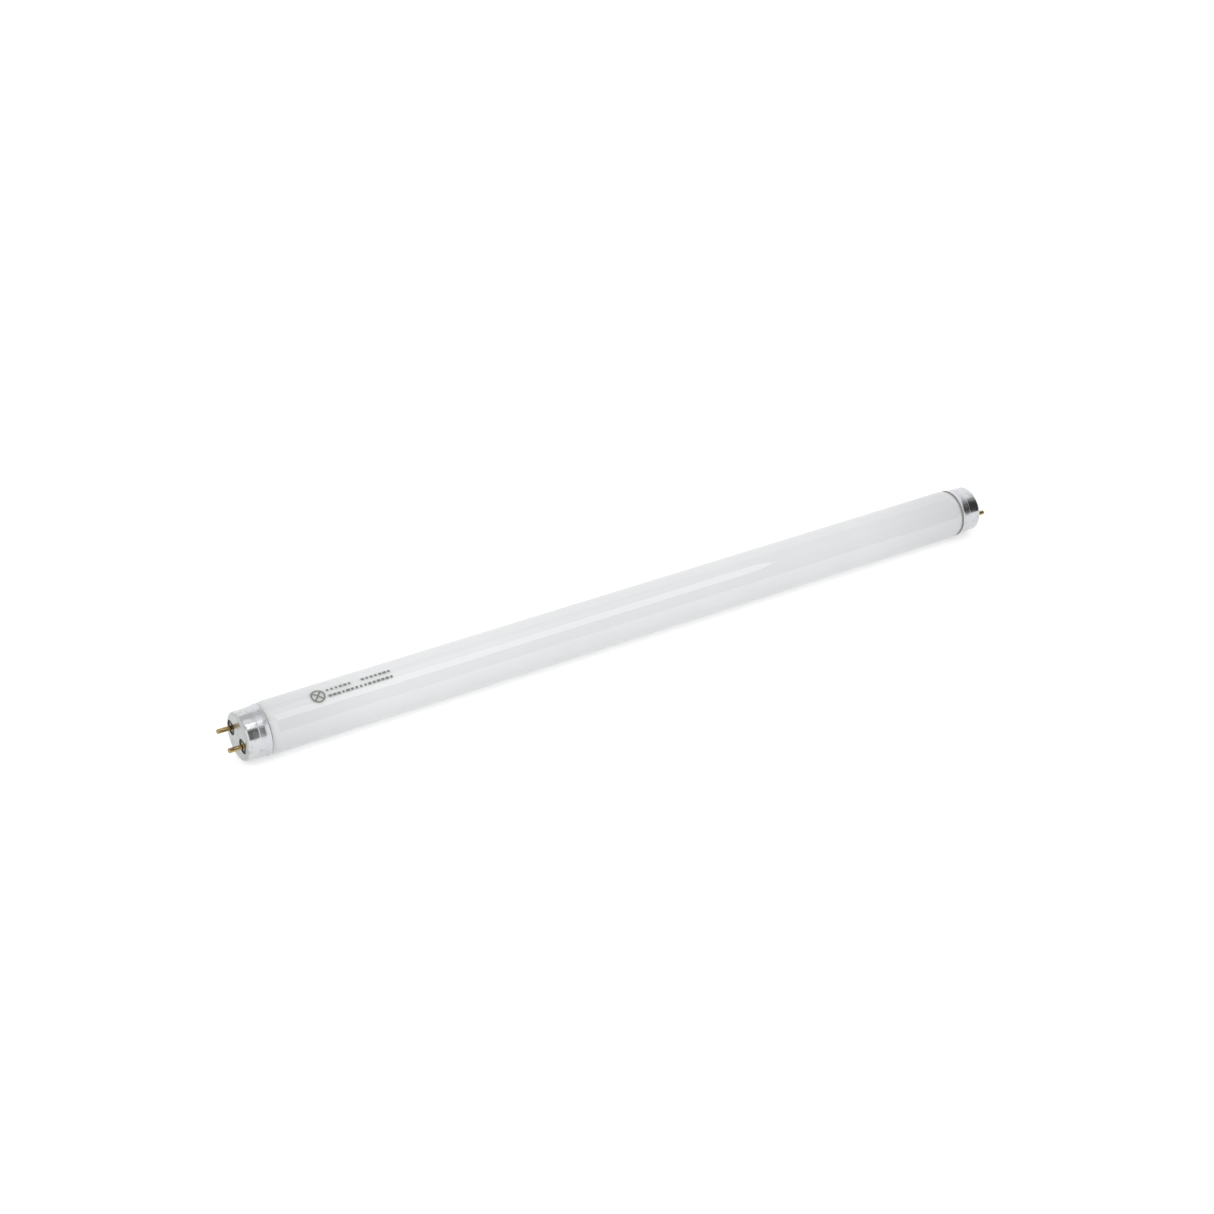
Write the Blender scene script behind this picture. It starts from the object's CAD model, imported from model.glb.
# %% [markdown]
# # A two-pin fluorescent lamp
# The lamp is a white glass tube with a spun aluminium cap and two brass pins at
# each end. The CAD model fixes every size and place. This script builds the
# surfaces that the eye sees around it, and leaves the CAD model where it is.

# %% Load the frame
import math

import bmesh
import bpy
from mathutils import Matrix, Vector, noise
from mathutils.geometry import tessellate_polygon


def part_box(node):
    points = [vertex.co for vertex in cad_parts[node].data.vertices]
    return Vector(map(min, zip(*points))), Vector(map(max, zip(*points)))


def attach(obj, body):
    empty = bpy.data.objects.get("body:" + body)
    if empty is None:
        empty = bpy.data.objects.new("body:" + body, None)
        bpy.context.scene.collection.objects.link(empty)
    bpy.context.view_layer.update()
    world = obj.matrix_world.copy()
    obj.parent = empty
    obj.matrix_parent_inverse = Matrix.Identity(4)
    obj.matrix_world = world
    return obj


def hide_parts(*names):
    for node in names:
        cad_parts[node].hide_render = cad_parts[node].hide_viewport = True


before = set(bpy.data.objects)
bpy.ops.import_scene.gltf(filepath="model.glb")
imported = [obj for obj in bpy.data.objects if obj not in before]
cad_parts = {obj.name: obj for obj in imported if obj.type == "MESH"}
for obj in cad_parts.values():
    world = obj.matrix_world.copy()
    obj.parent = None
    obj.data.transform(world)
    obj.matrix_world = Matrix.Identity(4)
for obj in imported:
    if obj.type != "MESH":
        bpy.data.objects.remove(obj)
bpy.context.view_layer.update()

# %% [markdown]
# ## Sizes
# Sizes that two pieces share are read from the CAD nodes, so the two models can't
# drift apart. A place at the left end is given as u, the distance in from the cap's
# face, and r, the distance from the lamp's axis, both in millimetres. The pins of
# both ends lie in one plane, and its tilt is read from the middle of one pin.

# %% Sizes read from the frame
MM = 0.001


def node_radius(name):
    """The largest distance of a CAD node from the lamp's axis, in millimetres."""
    return max(math.hypot(v.co.y, v.co.z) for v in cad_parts[name].data.vertices) / MM


def inset(x):
    """The distance of a place from the face of the left cap, in millimetres."""
    return (x - face_x) / MM


face_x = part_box("left_cap_shell")[0].x
tube_radius = node_radius("glass_tube")
rim_radius = node_radius("left_cap_shell")
glass_end_u = inset(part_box("glass_tube")[0].x)
coating_u = inset(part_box("phosphor_coating")[0].x)
pin_tip_u = inset(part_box("left_upper_pin")[0].x)
pin_back_u = inset(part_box("left_upper_pin")[1].x)
pin_middle = sum(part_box("left_upper_pin"), Vector()) / 2
pin_offset = math.hypot(pin_middle.y, pin_middle.z) / MM
pin_roll = math.atan2(pin_middle.z, pin_middle.y)

ALONG = Vector((1, 0, 0))
ACROSS = Vector((0, math.cos(pin_roll), math.sin(pin_roll)))
SQUARE = ALONG.cross(ACROSS)
print(f"tube radius {tube_radius:.2f} mm, rim radius {rim_radius:.2f} mm")
print(f"pins {pin_offset:.2f} mm off the axis, tilted {math.degrees(pin_roll):.1f} degrees")

# %% [markdown]
# ## Camera and stage
# The camera comes first, so that every later step can be judged through it. It
# stands to the left, in front and above, and looks down at about 29 degrees
# through a short telephoto lens, which keeps the tube's two edges nearly parallel.
# It could be dragged into place by hand, but two angles, a distance and a point to
# look at can be read and changed.

# %% Camera
CAMERA_AZIMUTH = math.radians(-32.55)
CAMERA_ELEVATION = math.radians(29.15)
CAMERA_DISTANCE = 1.1696
CAMERA_AIM = Vector((-0.0106, 0.0083, 0.0024))
CAMERA_LENS = 68.6

camera_data = bpy.data.cameras.new("camera")
camera_data.lens = CAMERA_LENS
camera = bpy.data.objects.new("camera", camera_data)
bpy.context.collection.objects.link(camera)
camera_back = Vector((
    math.sin(CAMERA_AZIMUTH) * math.cos(CAMERA_ELEVATION),
    -math.cos(CAMERA_AZIMUTH) * math.cos(CAMERA_ELEVATION),
    math.sin(CAMERA_ELEVATION),
))
camera.location = CAMERA_AIM + CAMERA_DISTANCE * camera_back
camera.rotation_euler = (math.pi / 2 - CAMERA_ELEVATION, 0, CAMERA_AZIMUTH)
bpy.context.scene.camera = camera
bpy.context.scene.view_settings.view_transform = "Standard"
print("camera at", [round(c, 3) for c in camera.location])

# %% [markdown]
# ## Node helpers
# Shader trees and geometry trees are both made of nodes and links. One small
# function adds a node, sets its properties and fills its sockets: a value is
# written into the socket, and another node's output is linked to it.

# %% Helpers for node trees
def add(tree, kind, inputs=None, **settings):
    """Adds a node. Inputs go by socket name or number, settings by property name."""
    made = tree.nodes.new(kind)
    for key, value in settings.items():
        setattr(made, key, value)
    for key, value in (inputs or {}).items():
        if isinstance(value, bpy.types.NodeSocket):
            tree.links.new(value, made.inputs[key])
        else:
            made.inputs[key].default_value = value
    return made


def calc(tree, operation, first, second=0.0, third=0.0):
    """The result of one Math node."""
    return add(tree, "ShaderNodeMath", {0: first, 1: second, 2: third}, operation=operation).outputs[0]


def times(tree, first, second):
    return calc(tree, "MULTIPLY", first, second)


def minus(tree, first, second):
    return calc(tree, "SUBTRACT", first, second)


def ramp(tree, value, low, high, to_low=0.0, to_high=1.0):
    """A smooth step from to_low to to_high as value goes from low to high."""
    inputs = {"Value": value, "From Min": low, "From Max": high, "To Min": to_low, "To Max": to_high}
    return add(tree, "ShaderNodeMapRange", inputs, interpolation_type="SMOOTHSTEP").outputs[0]


def blend(tree, factor, first, second):
    """A colour between two colours."""
    return add(tree, "ShaderNodeMix", {0: factor, 6: first, 7: second}, data_type="RGBA").outputs[2]


def vector(tree, x=0.0, y=0.0, z=0.0):
    """A vector made of three numbers."""
    return add(tree, "ShaderNodeCombineXYZ", {0: x, 1: y, 2: z}).outputs[0]


def axes_of(tree, value):
    """The X, Y and Z of a vector."""
    return add(tree, "ShaderNodeSeparateXYZ", {0: value}).outputs


def grey(level):
    return (level, level, level, 1.0)


def object_place(tree):
    """The place of a surface point in the lamp's own frame, in metres."""
    return add(tree, "ShaderNodeTexCoord").outputs["Object"]


def depth_from_face(tree):
    """The distance from the nearer cap face along the axis, in metres."""
    return minus(tree, -face_x, calc(tree, "ABSOLUTE", axes_of(tree, object_place(tree))["X"]))


def cloud_noise(tree, scale, detail, **more):
    """The strength of a cloudy noise, from 0 to 1."""
    inputs = {"Vector": object_place(tree), "Scale": scale, "Detail": detail, **more}
    return add(tree, "ShaderNodeTexNoise", inputs).outputs[0]


# %% [markdown]
# ## Studio light
# Shiny goods are lit inside a white tent. For diffuse light the tent is one even
# white, so nothing casts a hard shadow. Metal shows more: it mirrors the dark gap
# at the front of the tent and the dimmer roof. So the world gives even white to
# diffuse rays, and this pattern to mirror rays. Walls built as meshes would do the
# same, but they would hide the lamp from other sides. All angles are in degrees.

# %% World
TENT_WHITE = 1.0
WALL_LEVEL = 1.2
GAP_AZIMUTH = (-80, -12)
GAP_LEVEL = 0.05
GAP_SIDE_EDGE = 8
GAP_FOOT = (-3, 1)
GAP_TOP = 38
ROOF_START = 48
ROOF_EDGE = 6
ROOF_LEVELS = (0.35, 0.7)
ROOF_TURN = (-30, 40)
ZENITH_LEVEL = 0.7
ZENITH_START = (56, 68)
ZENITH_TURN = (0, 40)


def band(tree, value, limits, edge):
    """1 between two limits and 0 outside them, with soft edges."""
    up = ramp(tree, value, limits[0] - edge, limits[0] + edge)
    down = ramp(tree, value, limits[1] - edge, limits[1] + edge, 1.0, 0.0)
    return times(tree, up, down)


def build_world():
    world = bpy.data.worlds.new("tent")
    world.use_nodes = True
    tree = world.node_tree
    tree.nodes.clear()
    axes = axes_of(tree, add(tree, "ShaderNodeTexCoord").outputs["Generated"])
    azimuth = calc(tree, "DEGREES", calc(tree, "ARCTAN2", axes["Y"], axes["X"]))
    height = calc(tree, "DEGREES", calc(tree, "ARCSINE", axes["Z"]))

    # white walls all round, with the gap cut out of them on the front side
    front = band(tree, azimuth, GAP_AZIMUTH, GAP_SIDE_EDGE)
    gap = times(tree, front, ramp(tree, height, *GAP_FOOT))
    walls = calc(tree, "MULTIPLY_ADD", gap, GAP_LEVEL - WALL_LEVEL, WALL_LEVEL)

    # the roof starts lower above the gap than it does on the far side
    edge = calc(tree, "MULTIPLY_ADD", front, GAP_TOP - ROOF_START, ROOF_START)
    above = ramp(tree, minus(tree, height, edge), 0, ROOF_EDGE)
    roof = ramp(tree, azimuth, *ROOF_TURN, *ROOF_LEVELS)
    high_up = ramp(tree, height, *ZENITH_START)
    zenith = times(tree, high_up, ramp(tree, azimuth, *ZENITH_TURN, ZENITH_LEVEL, 0.0))
    roof = calc(tree, "ADD", roof, zenith)
    pattern = calc(tree, "MULTIPLY_ADD", minus(tree, roof, walls), above, walls)

    mirror_ray = add(tree, "ShaderNodeLightPath").outputs["Is Glossy Ray"]
    level = add(tree, "ShaderNodeMix", {0: mirror_ray, 2: TENT_WHITE, 3: pattern}).outputs[0]
    background = add(tree, "ShaderNodeBackground", {"Color": grey(1.0), "Strength": level})
    output = add(tree, "ShaderNodeOutputWorld")
    tree.links.new(background.outputs[0], output.inputs["Surface"])
    bpy.context.scene.world = world
    print("world made of", len(tree.nodes), "nodes")


build_world()

# %% [markdown]
# Two soft lamps hang in the tent. Both are rectangles at a real distance, so the
# near end is a little brighter than the far end. The softbox is mirrored in the
# metal and the glass. The fill lamp is only there for its light, so it is hidden
# from mirror rays.

# %% Soft lamps
SOFTBOX_PLACE = (0.30, -0.45, 0.80)
SOFTBOX_SIZE = (0.60, 0.42)
SOFTBOX_WATTS = 1.25
FILL_PLACE = (-0.45, -0.30, 0.50)
FILL_SIZE = (0.5, 0.5)
FILL_WATTS = 1.2
LAMP_TARGET = Vector((-0.1, 0.0, 0.0))


def soft_lamp(name, position, size, power, mirrored):
    """A rectangular area light that points at the near half of the tube."""
    data = bpy.data.lights.new(name, "AREA")
    data.shape = "RECTANGLE"
    data.size, data.size_y = size
    data.energy = power
    lamp = bpy.data.objects.new(name, data)
    bpy.context.collection.objects.link(lamp)
    lamp.visible_glossy = mirrored
    axis = (Vector(position) - LAMP_TARGET).normalized()
    side = (ALONG - axis * ALONG.dot(axis)).normalized()
    turned = Matrix((side, axis.cross(side), axis)).transposed().to_4x4()
    lamp.matrix_world = Matrix.Translation(position) @ turned
    print(name, size, "m,", power, "W")


soft_lamp("softbox", SOFTBOX_PLACE, SOFTBOX_SIZE, SOFTBOX_WATTS, True)
soft_lamp("fill", FILL_PLACE, FILL_SIZE, FILL_WATTS, False)

# %% [markdown]
# ## Floor
# The lamp lies on a sheet of white acrylic that is lit a little from below, as on
# a product table. That light fills the underside of the tube and keeps the shadow
# faint. A very faint mottle keeps the sheet from being one flat colour.

# %% Floor
FLOOR_HALF = 3.0
FLOOR_WHITE = 0.58
FLOOR_MOTTLE = 0.02
FLOOR_GLOW = 0.48


def mesh_object(name, mesh):
    made = bpy.data.objects.new(name, mesh)
    bpy.context.collection.objects.link(made)
    return made


def start_finish(name, plain):
    """A material with a Principled shader, and its plain values by socket name."""
    material = bpy.data.materials.new(name)
    material.use_nodes = True
    shader = material.node_tree.nodes["Principled BSDF"]
    for label, value in plain.items():
        shader.inputs[label].default_value = value
    return material, material.node_tree, shader


def feed(shader, label, output):
    """Links a node's output to one of the shader's sockets."""
    shader.id_data.links.new(output, shader.inputs[label])


def acrylic_material():
    material, tree, shader = start_finish("white_acrylic", {
        "Roughness": 0.8, "Specular IOR Level": 0.1,
        "Emission Color": grey(1.0), "Emission Strength": FLOOR_GLOW})
    white = blend(tree, cloud_noise(tree, 3.0, 3.0), grey(FLOOR_WHITE), grey(FLOOR_WHITE - FLOOR_MOTTLE))
    feed(shader, "Base Color", white)
    return material


floor_mesh = bpy.data.meshes.new("floor")
floor_z = -tube_radius * MM
corners = [(-1, -1), (1, -1), (1, 1), (-1, 1)]
floor_mesh.from_pydata([(FLOOR_HALF * x, FLOOR_HALF * y, floor_z) for x, y in corners], [], [(0, 1, 2, 3)])
floor = mesh_object("floor", floor_mesh)
floor.data.materials.append(acrylic_material())
print(f"floor at {floor_z / MM:.1f} mm")

# %% [markdown]
# ## Shared effects
# Three effects turn up in more than one finish, so each is a node group that is
# built once. Lathe grain is the fine rings that a spinning tool leaves: they
# follow the distance along the axis on a barrel, and the distance from the axis
# on a flat face. Handling marks are the soft smudges that fingers and packing
# leave. Speckle is the small grains in a moulded or powdery surface.

# %% Node groups for shader effects
def effect_group(name, inputs, outputs):
    """An empty shader group with number inputs and outputs."""
    group = bpy.data.node_groups.new(name, "ShaderNodeTree")
    for label, value in inputs.items():
        socket = group.interface.new_socket(label, in_out="INPUT", socket_type="NodeSocketFloat")
        socket.default_value = value
    for label in outputs:
        group.interface.new_socket(label, in_out="OUTPUT", socket_type="NodeSocketFloat")
    return group, group.nodes.new("NodeGroupInput").outputs, group.nodes.new("NodeGroupOutput").inputs


def build_lathe_grain():
    """Rings per millimetre, and how far they wander round the piece."""
    group, given, result = effect_group("lathe_grain", {"Rings": 6.0, "Wander": 0.3}, ["Height", "Streak"])
    axes = axes_of(group, object_place(group))
    span = vector(group, y=axes["Y"], z=axes["Z"])
    radius = add(group, "ShaderNodeVectorMath", {0: span}, operation="LENGTH").outputs["Value"]
    rings = times(group, given["Rings"], 1 / MM)
    along = times(group, calc(group, "ADD", axes["X"], radius), rings)
    around = add(group, "ShaderNodeVectorMath", {0: span}, operation="NORMALIZE").outputs[0]
    turn = axes_of(group, around)
    wanders = [times(group, turn[axis], given["Wander"]) for axis in "YZ"]
    lookup = vector(group, along, *wanders)
    fine = add(group, "ShaderNodeTexNoise", {"Vector": lookup, "Scale": 1.0, "Detail": 4.0})
    wide = add(group, "ShaderNodeTexNoise", {"Vector": lookup, "Scale": 0.17, "Detail": 2.0})
    group.links.new(fine.outputs[0], result["Height"])
    group.links.new(ramp(group, wide.outputs[0], 0.35, 0.65), result["Streak"])
    return group


def build_handling():
    """Smudges of a given size in millimetres; Amount says how much they cover."""
    group, given, result = effect_group("handling_marks", {"Size": 8.0, "Amount": 0.5}, ["Smudge", "Scratch"])
    scale = calc(group, "DIVIDE", 1 / MM, given["Size"])
    cloud = cloud_noise(group, scale, 5.0, Distortion=0.6)
    start = minus(group, 0.75, times(group, given["Amount"], 0.4))
    smudge = ramp(group, cloud, start, calc(group, "ADD", start, 0.18))
    hair = cloud_noise(group, times(group, scale, 4.0), 2.0, Distortion=3.0)
    ridge = calc(group, "ABSOLUTE", minus(group, hair, 0.5))
    group.links.new(smudge, result["Smudge"])
    group.links.new(ramp(group, ridge, 0.0, 0.012, 1.0, 0.0), result["Scratch"])
    return group


def build_speckle():
    """Small grains of a given size in millimetres."""
    group, given, result = effect_group("speckle", {"Size": 0.2}, ["Grain", "Spot"])
    scale = calc(group, "DIVIDE", 1 / MM, given["Size"])
    cells = add(group, "ShaderNodeTexVoronoi", {
        "Vector": object_place(group), "Scale": times(group, scale, 0.6)})
    group.links.new(cloud_noise(group, scale, 3.0), result["Grain"])
    group.links.new(ramp(group, cells.outputs["Distance"], 0.15, 0.3, 1.0, 0.0), result["Spot"])
    return group


LATHE_GRAIN = build_lathe_grain()
HANDLING = build_handling()
SPECKLE = build_speckle()
print("effect groups:", [g.name for g in (LATHE_GRAIN, HANDLING, SPECKLE)])

# %% [markdown]
# ## Finishes
# Every finish is made the same way: a Principled shader, and effects that feed its
# colour, its roughness and the height of its bump. Helpers do what they all need,
# so each finish below only says what is special about it.

# %% Helpers for finishes
def effect(tree, group, **values):
    """Places an effect group with its own values and returns its outputs."""
    made = add(tree, "ShaderNodeGroup", node_tree=group)
    for label, value in values.items():
        made.inputs[label].default_value = value
    return made.outputs


def set_bump(shader, height, strength, distance):
    """Feeds a height to the shader's normal; distance is in millimetres."""
    inputs = {"Height": height, "Strength": strength, "Distance": distance * MM}
    feed(shader, "Normal", add(shader.id_data, "ShaderNodeBump", inputs).outputs[0])


def set_roughness(shader, base, *parts):
    """The roughness is a base value plus each effect times its weight."""
    value = base
    for output, weight in parts:
        value = calc(shader.id_data, "MULTIPLY_ADD", output, weight, value)
    feed(shader, "Roughness", value)


# %% [markdown]
# ### Glass and the powder behind it
# The tube is clear glass, and the white comes from the powder on its bore. Light
# that crosses glass is slow to trace, so the glass lets shadow rays and diffuse
# rays straight through, and only the eye's rays are bent and mirrored. The powder
# is greyer towards each end, where the heat and vapour of the filament reach it.

# %% Glass and phosphor
GREYED_DEPTH = (5, 80)


def clear_glass(name, tint, roughness):
    material, tree, shader = start_finish(name, {
        "Base Color": tint, "Transmission Weight": 1.0, "IOR": 1.52})
    marks = effect(tree, HANDLING, Size=14.0, Amount=0.5)
    set_roughness(shader, roughness, (marks["Smudge"], 0.03), (marks["Scratch"], 0.02))
    set_bump(shader, cloud_noise(tree, 45.0, 1.0), 0.05, 1.0)
    rays = add(tree, "ShaderNodeLightPath")
    through = calc(tree, "MAXIMUM", rays.outputs["Is Shadow Ray"], rays.outputs["Is Diffuse Ray"])
    open_air = add(tree, "ShaderNodeBsdfTransparent", {"Color": tint})
    both = add(tree, "ShaderNodeMixShader", {0: through, 1: shader.outputs[0], 2: open_air.outputs[0]})
    tree.links.new(both.outputs[0], tree.nodes["Material Output"].inputs["Surface"])
    return material


def phosphor_powder():
    material, tree, shader = start_finish("phosphor_powder", {"Roughness": 0.95, "Specular IOR Level": 0.1})
    grains = effect(tree, SPECKLE, Size=0.12)
    pale = blend(tree, cloud_noise(tree, 30.0, 4.0), (0.615, 0.620, 0.630, 1), (0.655, 0.660, 0.665, 1))
    white = blend(tree, times(tree, grains["Grain"], 0.25), pale, grey(0.58))
    first, last = GREYED_DEPTH
    greyed = ramp(tree, depth_from_face(tree), first * MM, last * MM, 0.7, 0.0)
    feed(shader, "Base Color", blend(tree, greyed, white, (0.495, 0.506, 0.515, 1)))
    set_bump(shader, grains["Grain"], 0.3, 0.01)
    return material


GLASS = clear_glass("lamp_glass", (0.985, 0.99, 0.99, 1), 0.015)
STEM_GLASS = clear_glass("stem_glass", (0.96, 0.975, 0.97, 1), 0.03)
PHOSPHOR = phosphor_powder()
print("made", GLASS.name, STEM_GLASS.name, PHOSPHOR.name)

# %% [markdown]
# ### Metals
# Spun aluminium is a soft grey mirror with fine rings. Its face is matt from the
# blank, and behind the step it is duller and a little blue from the baking of the
# cement. Brass that has been drawn and crimped is darker where the oxide is
# thicker. The wires inside are simpler, but none has an even colour.

# %% Aluminium, brass and wires
STEP_U = 6.8
STEP_LENGTH = 0.4


def spun_aluminium():
    material, tree, shader = start_finish("spun_aluminium", {"Metallic": 1.0})
    grain = effect(tree, LATHE_GRAIN, Rings=7.0, Wander=0.35)
    marks = effect(tree, HANDLING, Size=3.5, Amount=0.6)
    depth = depth_from_face(tree)
    face = ramp(tree, depth, 0.3 * MM, 1.3 * MM, 1.0, 0.0)
    rear = ramp(tree, depth, (STEP_U + STEP_LENGTH / 4) * MM, (STEP_U + STEP_LENGTH) * MM)
    bright = blend(tree, grain["Streak"], (0.60, 0.605, 0.615, 1), (0.575, 0.58, 0.595, 1))
    bright = blend(tree, times(tree, rear, 0.4), bright, (0.565, 0.595, 0.635, 1))
    dull = calc(tree, "MULTIPLY_ADD", marks["Smudge"], 0.4, times(tree, face, 0.8))
    feed(shader, "Base Color", blend(tree, dull, bright, (0.40, 0.41, 0.41, 1)))
    set_roughness(shader, 0.11, (grain["Streak"], 0.03), (marks["Smudge"], 0.12), (face, 0.15), (rear, 0.12))
    height = calc(tree, "MULTIPLY_ADD", cloud_noise(tree, 420.0, 2.0), 2.4, grain["Height"])
    set_bump(shader, calc(tree, "MULTIPLY_ADD", marks["Scratch"], -0.4, height), 0.4, 0.02)
    return material


def drawn_brass():
    material, tree, shader = start_finish("drawn_brass", {"Metallic": 1.0})
    marks = effect(tree, HANDLING, Size=3.0, Amount=0.55)
    grains = effect(tree, SPECKLE, Size=0.25)
    gold, brown = (0.42, 0.31, 0.145, 1), (0.12, 0.08, 0.03, 1)
    feed(shader, "Base Color", blend(tree, marks["Smudge"], gold, brown))
    set_roughness(shader, 0.12, (marks["Smudge"], 0.16), (grains["Grain"], 0.08))
    set_bump(shader, grains["Grain"], 0.3, 0.02)
    return material


def wire_metal(name, bright, dull, roughness):
    material, tree, shader = start_finish(name, {"Metallic": 1.0})
    marks = effect(tree, HANDLING, Size=1.2, Amount=0.5)
    grains = effect(tree, SPECKLE, Size=0.1)
    feed(shader, "Base Color", blend(tree, marks["Smudge"], bright, dull))
    set_roughness(shader, roughness, (grains["Grain"], 0.15))
    set_bump(shader, grains["Grain"], 0.3, 0.01)
    return material


ALUMINIUM = spun_aluminium()
BRASS = drawn_brass()
COPPER = wire_metal("copper_wire", (0.82, 0.42, 0.26, 1), (0.45, 0.20, 0.12, 1), 0.25)
DUMET = wire_metal("copper_clad_wire", (0.58, 0.20, 0.13, 1), (0.40, 0.10, 0.07, 1), 0.35)
NICKEL_IRON = wire_metal("nickel_iron", (0.62, 0.60, 0.56, 1), (0.40, 0.38, 0.35, 1), 0.3)
TUNGSTEN = wire_metal("tungsten", (0.34, 0.34, 0.35, 1), (0.20, 0.20, 0.21, 1), 0.4)
MERCURY = wire_metal("mercury", (0.80, 0.81, 0.83, 1), (0.70, 0.71, 0.73, 1), 0.03)
print("made", [m.name for m in (ALUMINIUM, BRASS, COPPER, DUMET, NICKEL_IRON, TUNGSTEN, MERCURY)])

# %% [markdown]
# ### Dull finishes
# The insulating disc is black phenolic with pale filler in it, the cement is a
# brown baked paste, the oxide is chalk white, and the printed mark is a thin dark
# ink. They differ in colour, grain size and grain depth, so one function makes
# all four.

# %% Phenolic, cement, oxide and ink
def grainy(name, colour, other, size, depth, roughness):
    material, tree, shader = start_finish(name, {})
    grains = effect(tree, SPECKLE, Size=size)
    mixed = calc(tree, "MULTIPLY_ADD", grains["Spot"], 0.5, times(tree, grains["Grain"], 0.5))
    feed(shader, "Base Color", blend(tree, mixed, colour, other))
    set_roughness(shader, roughness - 0.1, (grains["Grain"], 0.2))
    set_bump(shader, grains["Grain"], 0.6, depth)
    return material


PHENOLIC = grainy("black_phenolic", (0.018, 0.019, 0.02, 1), (0.12, 0.125, 0.125, 1), 0.35, 0.05, 0.45)
CEMENT = grainy("basing_cement", (0.30, 0.265, 0.235, 1), (0.17, 0.145, 0.125, 1), 0.3, 0.08, 0.8)
OXIDE = grainy("emissive_oxide", (0.86, 0.86, 0.82, 1), (0.70, 0.70, 0.66, 1), 0.15, 0.03, 0.95)
INK = grainy("printed_ink", (0.15, 0.145, 0.13, 1), (0.24, 0.235, 0.215, 1), 0.12, 0.004, 0.5)
print("made", [m.name for m in (PHENOLIC, CEMENT, OXIDE, INK)])

# %% [markdown]
# ## The glass tube
# The tube follows a rule: one radius along its length, a smaller one at each end,
# and a smooth shoulder between. Geometry Nodes can hold that rule. A flat grid is
# rolled up: one side of the grid becomes the turn about the axis, and the other
# walks along the outside of the tube and back along the inside. Because the rule
# has named sizes, the same tree makes the powder coating too.

# %% Tools for geometry trees
def shape_tree(name, inputs):
    """An empty geometry tree with named inputs, a material input and one output."""
    tree = bpy.data.node_groups.new(name, "GeometryNodeTree")
    kinds = {float: "NodeSocketFloat", int: "NodeSocketInt"}
    for label, value in inputs.items():
        socket = tree.interface.new_socket(label, in_out="INPUT", socket_type=kinds[type(value)])
        socket.default_value = value
    tree.interface.new_socket("Material", in_out="INPUT", socket_type="NodeSocketMaterial")
    tree.interface.new_socket("Geometry", in_out="OUTPUT", socket_type="NodeSocketGeometry")
    return tree, tree.nodes.new("NodeGroupInput").outputs


def end_tree(tree, given, geometry):
    """Realize Instances and Set Material, the last two steps of every tree."""
    real = add(tree, "GeometryNodeRealizeInstances", {0: geometry}).outputs[0]
    painted = add(tree, "GeometryNodeSetMaterial", {"Geometry": real, "Material": given["Material"]})
    output = tree.nodes.new("NodeGroupOutput")
    tree.links.new(painted.outputs[0], output.inputs[0])


def moved(tree, geometry, **how):
    """The geometry after a Transform node. How is its Translation, Rotation or Scale."""
    return add(tree, "GeometryNodeTransform", {"Geometry": geometry, **how}).outputs[0]


def sweep(tree, path, radius, sides):
    """A round bar along a curve, with closed ends."""
    section = add(tree, "GeometryNodeCurvePrimitiveCircle", {"Resolution": sides, "Radius": radius})
    return add(tree, "GeometryNodeCurveToMesh", {
        "Curve": path, "Profile Curve": section.outputs[0], "Fill Caps": True}).outputs[0]


def grow(name, tree, material, **values):
    """Runs a geometry tree on an empty object and keeps the result as a plain mesh."""
    carrier = mesh_object(name, bpy.data.meshes.new(name + "_seed"))
    modifier = carrier.modifiers.new("shape", "NODES")
    modifier.node_group = tree
    sockets = {s.name: s.identifier for s in tree.interface.items_tree if s.in_out == "INPUT"}
    for label, value in values.items():
        modifier[sockets[label.replace("_", " ")]] = value
    modifier[sockets["Material"]] = material
    view = bpy.context.evaluated_depsgraph_get()
    mesh = bpy.data.meshes.new_from_object(carrier.evaluated_get(view), depsgraph=view)
    carrier.modifiers.remove(modifier)
    carrier.data = mesh
    mesh.name = name
    print(name, "has", len(mesh.polygons), "faces")
    return carrier


# %% The rule of the necked tube
def walk_along(tree, given, across):
    """Says of each row of the grid if it is on the inside, and its place from -1 to 1."""
    rows = given["Rows"]
    both_walls = times(tree, rows, 2.0)
    row = calc(tree, "ROUND", times(tree, calc(tree, "ADD", across, 0.5), both_walls))
    row = calc(tree, "MODULO", row, both_walls)

    # The first half of the rows goes out along the outside, the second half comes back.
    inside = calc(tree, "GREATER_THAN", row, minus(tree, rows, 0.5))
    step = calc(tree, "DIVIDE", 2.0, minus(tree, rows, 1.0))
    forward = calc(tree, "MULTIPLY_ADD", row, step, -1.0)
    backward = minus(tree, 1.0, times(tree, minus(tree, row, rows), step))
    share = add(tree, "ShaderNodeMix", {0: inside, 2: forward, 3: backward}).outputs[0]

    # s (2 - |s|) crowds the rows towards both ends, where the shoulders are.
    return inside, times(tree, share, minus(tree, 2.0, calc(tree, "ABSOLUTE", share)))


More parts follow.
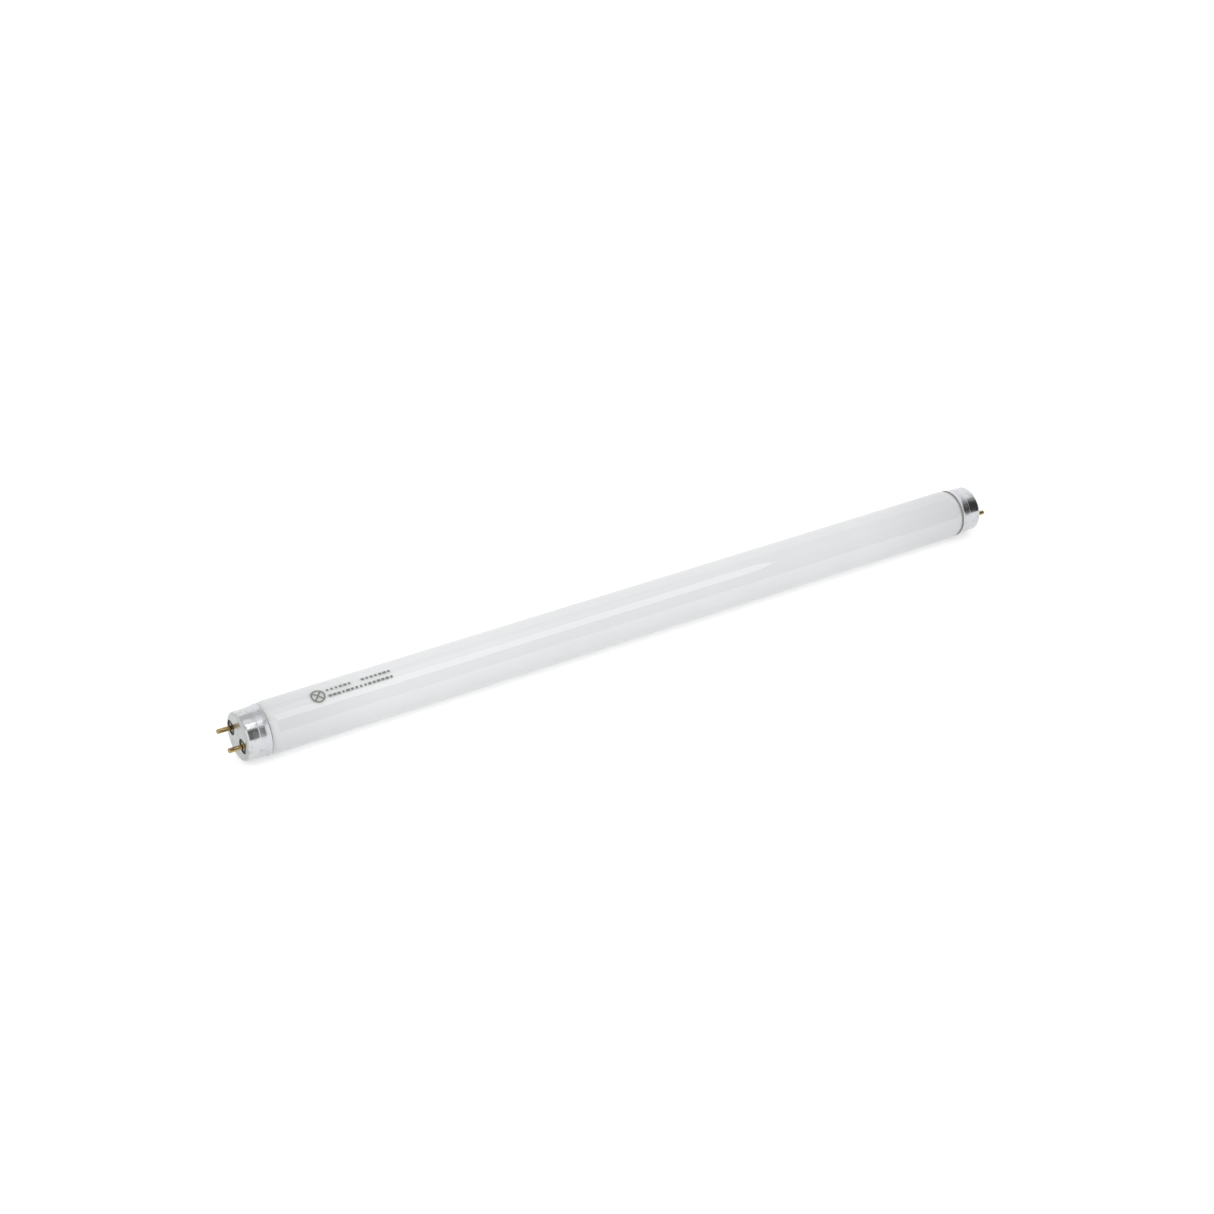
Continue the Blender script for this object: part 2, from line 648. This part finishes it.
def shoulder_rise(tree, given, from_end):
    """The height above the neck: two equal arcs that meet halfway up, one hollow, one round."""
    up = times(tree, minus(tree, given["Tube Radius"], given["Neck Radius"]), 0.5)
    run = times(tree, given["Shoulder Length"], 0.5)
    squares = calc(tree, "MULTIPLY_ADD", up, up, times(tree, run, run))
    bend = calc(tree, "DIVIDE", squares, times(tree, up, 2.0))
    past_neck = calc(tree, "MAXIMUM", minus(tree, from_end, given["Neck Length"]), 0.0)
    to_tube = calc(tree, "MAXIMUM", minus(tree, given["Shoulder Length"], past_neck), 0.0)
    rises = []
    for distance in (past_neck, to_tube):
        near = calc(tree, "MINIMUM", distance, run)
        level = minus(tree, times(tree, bend, bend), times(tree, near, near))
        rises.append(minus(tree, bend, calc(tree, "SQRT", level)))
    return calc(tree, "ADD", up, minus(tree, *rises))


def necked_tube_tree():
    tree, given = shape_tree("necked_tube", {
        "Length": 0.4, "Tube Radius": 0.013, "Neck Radius": 0.011, "Neck Length": 0.005,
        "Shoulder Length": 0.008, "Wall": 0.001, "Rows": 200, "Segments": 128})
    grid = add(tree, "GeometryNodeMeshGrid", {
        "Size X": 1.0, "Size Y": 1.0,
        "Vertices X": calc(tree, "MULTIPLY_ADD", given["Rows"], 2.0, 1.0),
        "Vertices Y": calc(tree, "ADD", given["Segments"], 1.0)})
    flat = axes_of(tree, add(tree, "GeometryNodeInputPosition").outputs[0])
    inside, share = walk_along(tree, given, flat["X"])
    half = times(tree, given["Length"], 0.5)
    x = times(tree, half, share)
    from_end = minus(tree, half, calc(tree, "ABSOLUTE", x))
    outer = calc(tree, "ADD", given["Neck Radius"], shoulder_rise(tree, given, from_end))
    radius = minus(tree, outer, times(tree, inside, given["Wall"]))
    angle = times(tree, flat["Y"], 2 * math.pi)
    turned = [times(tree, radius, calc(tree, wave, angle)) for wave in ("COSINE", "SINE")]
    rolled = add(tree, "GeometryNodeSetPosition", {
        "Geometry": grid.outputs[0], "Position": vector(tree, x, *turned)})
    welded = add(tree, "GeometryNodeMergeByDistance", {"Geometry": rolled.outputs[0], "Distance": 1e-6})
    end_tree(tree, given, welded.outputs[0])
    return tree


NECKED_TUBE = necked_tube_tree()

# %% [markdown]
# The same tree is used twice. The glass runs from under one cap to under the
# other. The powder starts at the end of the neck and is let into the glass by a
# hair, because powder that is baked on touches the glass and leaves no air gap.

# %% Glass tube and coating
GLASS_WALL = 0.75
NECK_DROP = 1.7
SHOULDER_LENGTH = 7.6
COATING = 0.05
BAKED_IN = 0.02
SMOOTH_ANGLE = math.radians(35)

end_to_end = -2 * face_x


def finish_mesh(piece, *nodes, slot):
    """Smooth shading up to a crease angle, then the piece joins the lamp's body."""
    piece.data.shade_smooth()
    piece.data.set_sharp_from_angle(angle=SMOOTH_ANGLE)
    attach(piece, "root")
    if nodes:
        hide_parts(*nodes)
    return piece


def facing_out(piece):
    """True if the mesh encloses a positive volume, so that its faces point outwards."""
    shell = bmesh.new()
    shell.from_mesh(piece.data)
    volume = shell.calc_volume(signed=True)
    shell.free()
    if volume < 0:
        piece.data.flip_normals()
    print(f"{piece.name} encloses {abs(volume) / MM ** 3:.1f} cubic mm")
    return piece


glass_tube = facing_out(grow(
    "glass_tube", NECKED_TUBE, GLASS,
    Length=end_to_end - 2 * glass_end_u * MM, Tube_Radius=tube_radius * MM,
    Neck_Radius=(tube_radius - NECK_DROP) * MM, Neck_Length=(coating_u - glass_end_u) * MM,
    Shoulder_Length=SHOULDER_LENGTH * MM, Wall=GLASS_WALL * MM, Rows=300, Segments=128))
bore_radius = tube_radius - GLASS_WALL + BAKED_IN
coating = facing_out(grow(
    "phosphor_coating", NECKED_TUBE, PHOSPHOR,
    Length=end_to_end - 2 * coating_u * MM, Tube_Radius=bore_radius * MM,
    Neck_Radius=(bore_radius - NECK_DROP) * MM, Neck_Length=0.0,
    Shoulder_Length=SHOULDER_LENGTH * MM, Wall=(COATING + BAKED_IN) * MM, Rows=160, Segments=128))
finish_mesh(glass_tube, "glass_tube", slot="glass")
finish_mesh(coating, "phosphor_coating", slot="phosphor")

# %% [markdown]
# ## The printed mark
# Lamps carry a small print near one end. This one has a generic lamp symbol, a
# ring with a cross, and two rows of plain dashes in place of words. It is drawn
# flat first, with the stroke as a real thickness, and then bent round the glass.
# Geometry Nodes suit it: the dashes repeat, and the bend is one formula.

# %% The symbol and the rows of the mark
def joined(tree, pieces):
    """All the pieces as one geometry."""
    together = tree.nodes.new("GeometryNodeJoinGeometry")
    for piece in pieces:
        tree.links.new(piece, together.inputs[0])
    return together.outputs[0]


def mark_symbol(tree, given):
    """A ring with a cross, drawn with a round pen and then pressed flat."""
    ring_radius = times(tree, given["Symbol"], 0.5)
    ring = add(tree, "GeometryNodeCurvePrimitiveCircle", {"Resolution": 48, "Radius": ring_radius})
    reach = times(tree, ring_radius, math.sqrt(0.5))
    back = times(tree, reach, -1.0)
    strokes = [ring.outputs[0]]
    for first, last in (((back, back), (reach, reach)), ((back, reach), (reach, back))):
        ends = {"Start": vector(tree, *first), "End": vector(tree, *last)}
        line = add(tree, "GeometryNodeCurvePrimitiveLine", ends).outputs[0]
        strokes.append(add(tree, "GeometryNodeResampleCurve", {"Curve": line, "Count": 9}).outputs[0])
    swept = sweep(tree, joined(tree, strokes), times(tree, given["Stroke"], 0.5), 8)
    thin = calc(tree, "DIVIDE", given["Ink"], given["Stroke"])
    flat = vector(tree, 1.0, 1.0, thin)
    return moved(tree, swept, Translation=vector(tree, ring_radius), Scale=flat)


def mark_rows(tree, given):
    """A slab on each point of a grid, as long as chance says. The shortest are left out."""
    width = times(tree, minus(tree, given["Dashes"], 1.0), given["Pitch"])
    height = times(tree, minus(tree, given["Rows"], 1.0), given["Row Pitch"])
    cells = add(tree, "GeometryNodeMeshGrid", {
        "Size X": width, "Size Y": height, "Vertices X": given["Dashes"], "Vertices Y": given["Rows"]})
    slab = add(tree, "GeometryNodeMeshCube", {"Size": (1.0, 1.0, 1.0), "Vertices X": 4, "Vertices Y": 4})
    chance = add(tree, "FunctionNodeRandomValue", {2: 0.35, 3: 0.9, 8: given["Seed"]}, data_type="FLOAT")
    share = chance.outputs[1]
    dashes = add(tree, "GeometryNodeInstanceOnPoints", {
        "Points": cells.outputs[0], "Selection": calc(tree, "GREATER_THAN", share, 0.42),
        "Instance": slab.outputs[0],
        "Scale": vector(tree, times(tree, given["Pitch"], share), given["Dash Height"], given["Ink"])})
    real = add(tree, "GeometryNodeRealizeInstances", {0: dashes.outputs[0]}).outputs[0]
    after_symbol = calc(tree, "ADD", given["Symbol"], given["Gap"])
    start = calc(tree, "ADD", after_symbol, times(tree, width, 0.5))
    return moved(tree, real, Translation=vector(tree, start))


# %% The tree that prints the mark
def mark_tree():
    tree, given = shape_tree("printed_mark", {
        "Radius": 0.013, "Angle": 1.1, "Start": -0.18, "Symbol": 0.006, "Stroke": 0.0006,
        "Gap": 0.002, "Dashes": 12, "Rows": 2, "Pitch": 0.002, "Row Pitch": 0.003,
        "Dash Height": 0.001, "Ink": 0.00002, "Seed": 4})
    flat = joined(tree, (mark_symbol(tree, given), mark_rows(tree, given)))

    # the flat print is bent round the tube
    axes = axes_of(tree, add(tree, "GeometryNodeInputPosition").outputs[0])
    angle = calc(tree, "ADD", calc(tree, "DIVIDE", axes["Y"], given["Radius"]), given["Angle"])
    radius = calc(tree, "ADD", axes["Z"], given["Radius"])
    bent = vector(
        tree, calc(tree, "ADD", axes["X"], given["Start"]),
        times(tree, calc(tree, "COSINE", angle), times(tree, radius, -1.0)),
        times(tree, calc(tree, "SINE", angle), radius))
    wrapped = add(tree, "GeometryNodeSetPosition", {"Geometry": flat, "Position": bent})
    end_tree(tree, given, wrapped.outputs[0])
    return tree


# %% Print the mark
MARK_START_U = 36.5
MARK_ANGLE = 66.0

mark = grow(
    "printed_mark", mark_tree(), INK,
    Radius=(tube_radius + 0.008) * MM, Angle=math.radians(MARK_ANGLE), Start=face_x + MARK_START_U * MM,
    Symbol=6.4 * MM, Stroke=0.8 * MM, Gap=2.4 * MM, Dashes=15, Rows=2, Pitch=2.3 * MM,
    Row_Pitch=3.4 * MM, Dash_Height=1.25 * MM, Ink=0.02 * MM, Seed=4)
finish_mesh(facing_out(mark), slot="insulator")

# %% [markdown]
# ## Turned pieces
# The cap, the pins and the cement ring are all turned shapes. A turned shape needs
# only its outline: a list of (u, r) points with the round stretches as arcs. The
# outline runs inwards along the outside and comes back along the inside, which
# makes every face point outwards. Caps and pins get many segments, because a
# mirror-like metal shows every facet.

# %% Tools for turned pieces
SEGMENTS = 192


def place(u, across=0.0, square=0.0):
    """A point of the left end, from millimetres."""
    return ALONG * (face_x + u * MM) + ACROSS * (across * MM) + SQUARE * (square * MM)


def arc(centre, radius, first, last, steps):
    """Points on an arc in the (u, r) plane, by angles in degrees from the +u direction."""
    points = []
    for k in range(steps + 1):
        angle = math.radians(first + (last - first) * k / steps)
        points.append((centre[0] + radius * math.cos(angle), centre[1] + radius * math.sin(angle)))
    return points


def circle(u, r, offset=0.0, segments=SEGMENTS):
    """Points of a circle about an axis that is offset towards a pin."""
    angles = [2 * math.pi * k / segments for k in range(segments)]
    return [place(u, offset + r * math.cos(angle), r * math.sin(angle)) for angle in angles]


def turn_outline(shell, outline, segments=SEGMENTS, offset=0.0, closed=False):
    """Adds the surface that an outline sweeps about an axis. A ring on the axis is one point."""
    rings = []
    for u, r in outline:
        points = circle(u, r, offset, segments) if r > 1e-6 else [place(u, offset)]
        rings.append([shell.verts.new(point) for point in points])
    following = rings[1:] + rings[:1] if closed else rings[1:]
    for near, far in zip(rings, following):
        for k in range(segments):
            n = (k + 1) % segments
            corners = [near[i % len(near)] for i in (k, n)] + [far[i % len(far)] for i in (n, k)]
            shell.faces.new(tuple(dict.fromkeys(corners)))


def to_piece(name, shell, material):
    """Welds a bmesh, turns its faces outwards and makes it an object."""
    bmesh.ops.remove_doubles(shell, verts=shell.verts, dist=1e-8)
    bmesh.ops.recalc_face_normals(shell, faces=shell.faces)
    open_edges = sum(1 for edge in shell.edges if len(edge.link_faces) != 2)
    mesh = bpy.data.meshes.new(name)
    shell.to_mesh(mesh)
    shell.free()
    mesh.materials.append(material)
    print(name, "has", len(mesh.polygons), "faces and", open_edges, "open edges")
    return mesh_object(name, mesh)


HALF_TURN = Matrix.Rotation(math.pi, 4, ACROSS)


def both_ends(piece, *nodes, slot):
    """Finishes a piece of the left end, and its twin, turned over to the right end."""
    twin_mesh = piece.data.copy()
    twin_mesh.transform(HALF_TURN)
    twin = mesh_object(piece.name.replace("left_", "right_"), twin_mesh)
    finish_mesh(piece, *nodes, slot=slot)
    finish_mesh(twin, *[n.replace("left_", "right_") for n in nodes], slot=slot)


# %% [markdown]
# ## Cap shell
# The shell is spun from thin sheet: a flat face with a round corner, a barrel with
# one small step, and a bell that opens over the glass and ends in a rolled lip.
# The face has two round openings. A flat plate with holes can't be turned, so it
# is filled from its outline loops. A narrow ring of faces beside each edge keeps
# the plate's shading flat right up to the edge.

# %% Outline of the shell
SHELL_WALL = 0.35
CORNER_RADIUS = 1.7
STEP_RISE = 0.1
BELL_U = 9.6
BELL_RISE = 0.55
SHELL_DEPTH = 12.0
EDGE_BAND = 0.02

rear_radius = rim_radius - BELL_RISE
barrel_radius = rear_radius - STEP_RISE
plate_radius = barrel_radius - CORNER_RADIUS
bell_radius = ((SHELL_DEPTH - BELL_U) ** 2 + BELL_RISE ** 2) / (2 * BELL_RISE)
bell_centre = (BELL_U, rear_radius + bell_radius)
bell_end = math.degrees(math.asin((SHELL_DEPTH - BELL_U) / bell_radius)) - 90
print(f"barrel radius {barrel_radius:.2f} mm, face plate radius {plate_radius:.2f} mm")


def full_shell_outline():
    """From the edge of the face plate, out and along the outside, and back inside."""
    corner = (CORNER_RADIUS, plate_radius)
    lip_radius = bell_radius + SHELL_WALL / 2
    lip = arc(bell_centre, lip_radius, bell_end, bell_end, 1)[0]

    def step(depth):
        points = []
        for k in range(7):
            share = k / 6
            rise = STEP_RISE * share * share * (3 - 2 * share)
            points.append((STEP_U + STEP_LENGTH * share, barrel_radius + rise - depth))
        return points

    outside = [(0.0, plate_radius - EDGE_BAND)]
    outside += arc(corner, CORNER_RADIUS, 180, 90, 16)
    outside += step(0.0)
    outside += arc(bell_centre, bell_radius, -90, bell_end, 12)
    rolled = arc(lip, SHELL_WALL / 2, bell_end + 180, bell_end, 10)[1:-1]
    inside = arc(bell_centre, bell_radius + SHELL_WALL, bell_end, -90, 12)
    inside += step(SHELL_WALL)[::-1]
    inside += arc(corner, CORNER_RADIUS - SHELL_WALL, 90, 180, 12)
    inside.append((SHELL_WALL, plate_radius - EDGE_BAND))
    return outside + rolled + inside


# %% Build the shell
OPENING_RADIUS = 3.75
OPENING_SEGMENTS = 96
BURR = 0.06


def flat_plate(shell, u, radius, hole_radius):
    """Triangles that fill a disc with two round holes."""
    loops = [circle(u, radius)]
    for side in (1, -1):
        loops.append(circle(u, hole_radius, side * pin_offset, OPENING_SEGMENTS))
    corners = [shell.verts.new(point) for loop in loops for point in loop]
    for triangle in tessellate_polygon(loops):
        shell.faces.new([corners[k] for k in triangle])


def cap_shell():
    shell = bmesh.new()
    turn_outline(shell, full_shell_outline())
    wide = OPENING_RADIUS + BURR
    edge = arc((BURR, wide), BURR, 180, 270, 4)
    edge += arc((SHELL_WALL - BURR, wide), BURR, 270, 360, 4)
    edge = [(0.0, wide + EDGE_BAND)] + edge + [(SHELL_WALL, wide + EDGE_BAND)]
    for side in (1, -1):
        turn_outline(shell, edge, OPENING_SEGMENTS, side * pin_offset)
    for u in (0.0, SHELL_WALL):
        flat_plate(shell, u, plate_radius - EDGE_BAND, wide + EDGE_BAND)
    return to_piece("left_cap_shell", shell, ALUMINIUM)


both_ends(cap_shell(), "left_cap_shell", slot="cap_aluminium")

# %% [markdown]
# ## Insulating disc
# The disc is punched from black phenolic sheet. It lies behind the face plate and
# keeps the pins off the metal. Through each opening one sees the floor of a shallow
# well with the pin's flange on it. A boolean could cut the wells, but it leaves thin
# triangles at their edges, so the disc is filled from outlines as the plate was.

# %% Insulating disc
DISC_RIM = 0.4
DISC_FIT = 0.1
DISC_EDGE = 0.1
WELL_RADIUS = 3.9
WELL_DEPTH = 0.2
HOLE_RADIUS = 1.225

disc_back = CORNER_RADIUS + DISC_RIM
disc_radius = barrel_radius - SHELL_WALL - DISC_FIT
well_floor = SHELL_WALL + WELL_DEPTH


def insulating_disc():
    shell = bmesh.new()
    turn_outline(shell, [
        (SHELL_WALL, plate_radius - DISC_EDGE), (SHELL_WALL, plate_radius), (CORNER_RADIUS, disc_radius),
        (disc_back, disc_radius), (disc_back, disc_radius - DISC_EDGE)])
    for side in (1, -1):
        turn_outline(shell, [
            (SHELL_WALL, WELL_RADIUS), (well_floor, WELL_RADIUS), (well_floor, HOLE_RADIUS),
            (disc_back, HOLE_RADIUS)], OPENING_SEGMENTS, side * pin_offset)
    flat_plate(shell, SHELL_WALL, plate_radius - DISC_EDGE, WELL_RADIUS)
    flat_plate(shell, disc_back, disc_radius - DISC_EDGE, HOLE_RADIUS)
    return to_piece("left_cap_insulator", shell, PHENOLIC)


both_ends(insulating_disc(), "left_cap_insulator", slot="insulator")

# %% [markdown]
# ## Contact pins
# Each pin is a thin brass tube with a round closed tip. A flange rests on the disc
# outside, and the inner end is riveted over behind it. After the lead wire is
# threaded in, the pin is crimped from two sides, which leaves two small dents.
# The dents could be sculpted. Here the points near them are moved inwards by a
# rule, so all four pins have the same dents at the same place.

# %% Contact pins
PIN_RADIUS = 1.175
PIN_WALL = 0.42
TIP_ROUND = 0.9
TIP_WALL = 0.8
FLANGE_RADIUS = 1.7
FLANGE_THICKNESS = 0.5
CRIMP_U = -3.6
CRIMP_REACH = 0.62
CRIMP_DEPTH = 0.12
PIN_SEGMENTS = 96


def pin_outline():
    tip = (pin_tip_u + TIP_ROUND, PIN_RADIUS - TIP_ROUND)
    half = FLANGE_THICKNESS / 2
    outline = [(pin_tip_u, 0.0)] + arc(tip, TIP_ROUND, 180, 90, 12)
    outline += [(CRIMP_U + 0.1 * k, PIN_RADIUS) for k in range(-9, 10)]
    for middle in (well_floor - half, disc_back + half):
        outline.append((middle - half, PIN_RADIUS))
        outline += arc((middle, FLANGE_RADIUS - half), half, 180, 0, 12)
        outline.append((middle + half, PIN_RADIUS))
    del outline[-1]
    bore = PIN_RADIUS - PIN_WALL
    outline += [(pin_back_u, bore), (pin_tip_u + TIP_WALL, bore), (pin_tip_u + TIP_WALL, 0.0)]
    return outline


def press_crimp(shell, offset):
    """Moves the points near each crimp towards the axis of the pin."""
    for way in (1, -1):
        centre = place(CRIMP_U, offset, way * PIN_RADIUS)
        for point in shell.verts:
            share = (point.co - centre).length / (CRIMP_REACH * MM)
            if share < 1:
                depth = CRIMP_DEPTH * (0.5 + 0.5 * math.cos(math.pi * share))
                point.co -= SQUARE * (way * depth * MM)


for name, side in (("left_upper_pin", 1), ("left_lower_pin", -1)):
    pin_shell = bmesh.new()
    turn_outline(pin_shell, pin_outline(), PIN_SEGMENTS, side * pin_offset)
    press_crimp(pin_shell, side * pin_offset)
    both_ends(to_piece(name, pin_shell, BRASS), name, slot="pin_brass")

# %% [markdown]
# ## Basing cement
# The cap is pushed over the neck with a ring of paste inside, and heat sets the
# paste. A little is always squeezed out at the rim. The ring is turned like the
# rest, and then the points of its outer edge are moved by a smooth noise that
# closes on itself, so no two places of the bead look alike.

# %% Basing cement
CEMENT_START = 5.4
CEMENT_OVERRUN = 0.7
CEMENT_WAVE = 0.2
CEMENT_BULGE = 0.16
CEMENT_SUNK = 0.05


def glass_radius(u):
    """The outer radius of the glass near the neck, by the same two arcs."""
    run, rise = SHOULDER_LENGTH / 2, NECK_DROP / 2
    bend = (run * run + rise * rise) / (2 * rise)
    past = min(max(u - coating_u, 0.0), run)
    left = min(max(coating_u + SHOULDER_LENGTH - u, 0.0), run)
    climb = math.sqrt(bend ** 2 - left ** 2) - math.sqrt(bend ** 2 - past ** 2)
    return tube_radius - NECK_DROP + rise + climb


def cement_ring():
    against_shell = barrel_radius - SHELL_WALL
    outline = [(CEMENT_START, against_shell), (STEP_U, against_shell),
               (STEP_U + STEP_LENGTH, against_shell + STEP_RISE)]
    outline += arc(bell_centre, bell_radius + SHELL_WALL, -90, bell_end, 6)
    last_u, last_r = outline[-1]
    foot_u = SHELL_DEPTH + CEMENT_OVERRUN
    for k in range(1, 9):
        share = k / 8
        bulge = CEMENT_BULGE * math.sin(math.pi * share)
        outline.append((last_u + (foot_u - last_u) * share,
                        last_r + (glass_radius(foot_u) - last_r) * share + bulge))
    for u in (foot_u, coating_u + 2.0, coating_u, CEMENT_START):
        outline.append((u, glass_radius(u) - CEMENT_SUNK))
    shell = bmesh.new()
    turn_outline(shell, outline, closed=True)
    for point in shell.verts:
        u = inset(point.co.x)
        share = (u - last_u) / (foot_u - last_u)
        if share > 0:
            around = Vector((0, point.co.y, point.co.z)).normalized()
            wave = noise.noise(around * 3.1) + 0.45 * noise.noise(around * 11.0 + ALONG)
            new_u = u + CEMENT_WAVE * wave * share
            off_glass = Vector((0, point.co.y, point.co.z)).length / MM - glass_radius(u)
            radius = (glass_radius(new_u) + off_glass) * MM
            point.co = around * radius + ALONG * (face_x + new_u * MM)
    return to_piece("left_basing_cement", shell, CEMENT)


both_ends(cement_ring(), "left_basing_cement", slot="cement")

# %% [markdown]
# ## Filaments
# The filament is tungsten wire wound into a long thin spiral. A spiral is a path
# with a round section, so Geometry Nodes draw the path and sweep the section. The
# tree turns the finished coil so that it runs from clamp to clamp.

# %% The coil tree
def coil_tree():
    tree, given = shape_tree("filament_coil", {
        "Inset": 0.0, "Tilt": 0.0, "Length": 0.012, "Radius": 0.0005, "Wire": 0.0003,
        "Turns": 20.0, "Steps": 24})
    path = add(tree, "GeometryNodeCurveSpiral", {
        "Resolution": given["Steps"], "Rotations": given["Turns"], "Start Radius": given["Radius"],
        "End Radius": given["Radius"], "Height": given["Length"], "Reverse": False})
    coil = sweep(tree, path.outputs[0], times(tree, given["Wire"], 0.5), 10)
    centred = moved(tree, coil, Translation=vector(tree, z=times(tree, given["Length"], -0.5)))
    tilt = vector(tree, minus(tree, given["Tilt"], math.pi / 2))
    turned = moved(tree, centred, Translation=vector(tree, given["Inset"]), Rotation=tilt)
    end_tree(tree, given, turned)
    return tree


# %% Wind the left filament and turn its twin over
coil_low, coil_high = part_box("left_filament")
coil_width = (coil_high.x - coil_low.x) / MM
COIL_WIRE = 0.3
COIL_PITCH = 0.6
COIL_LENGTH = 11.9

filament = facing_out(grow(
    "left_filament", coil_tree(), TUNGSTEN,
    Inset=(coil_low.x + coil_high.x) / 2, Tilt=pin_roll, Length=COIL_LENGTH * MM,
    Radius=(coil_width - COIL_WIRE) / 2 * MM, Wire=COIL_WIRE * MM, Turns=COIL_LENGTH / COIL_PITCH, Steps=24))
both_ends(filament, "left_filament", slot="tungsten")

# %% [markdown]
# ## Pieces that keep their CAD surface
# The stems, the exhaust tubes, the leads, the oxide and the mercury are plain
# solids inside the lamp. Their CAD surfaces are good enough, so they only get
# their finish.

# %% Finishes for the remaining nodes
INNER_FINISHES = {
    "stem": STEM_GLASS, "exhaust_tube": STEM_GLASS, "outer_leads": COPPER, "press_leads": DUMET,
    "inner_leads": NICKEL_IRON, "emitter": OXIDE,
}


def set_finish(node_name, material):
    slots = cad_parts[node_name].data.materials
    slots.clear()
    slots.append(material)


for side in ("left_", "right_"):
    for node_name, material in INNER_FINISHES.items():
        set_finish(side + node_name, material)
set_finish("mercury_bead", MERCURY)
print("finished", 2 * len(INNER_FINISHES) + 1, "CAD nodes")
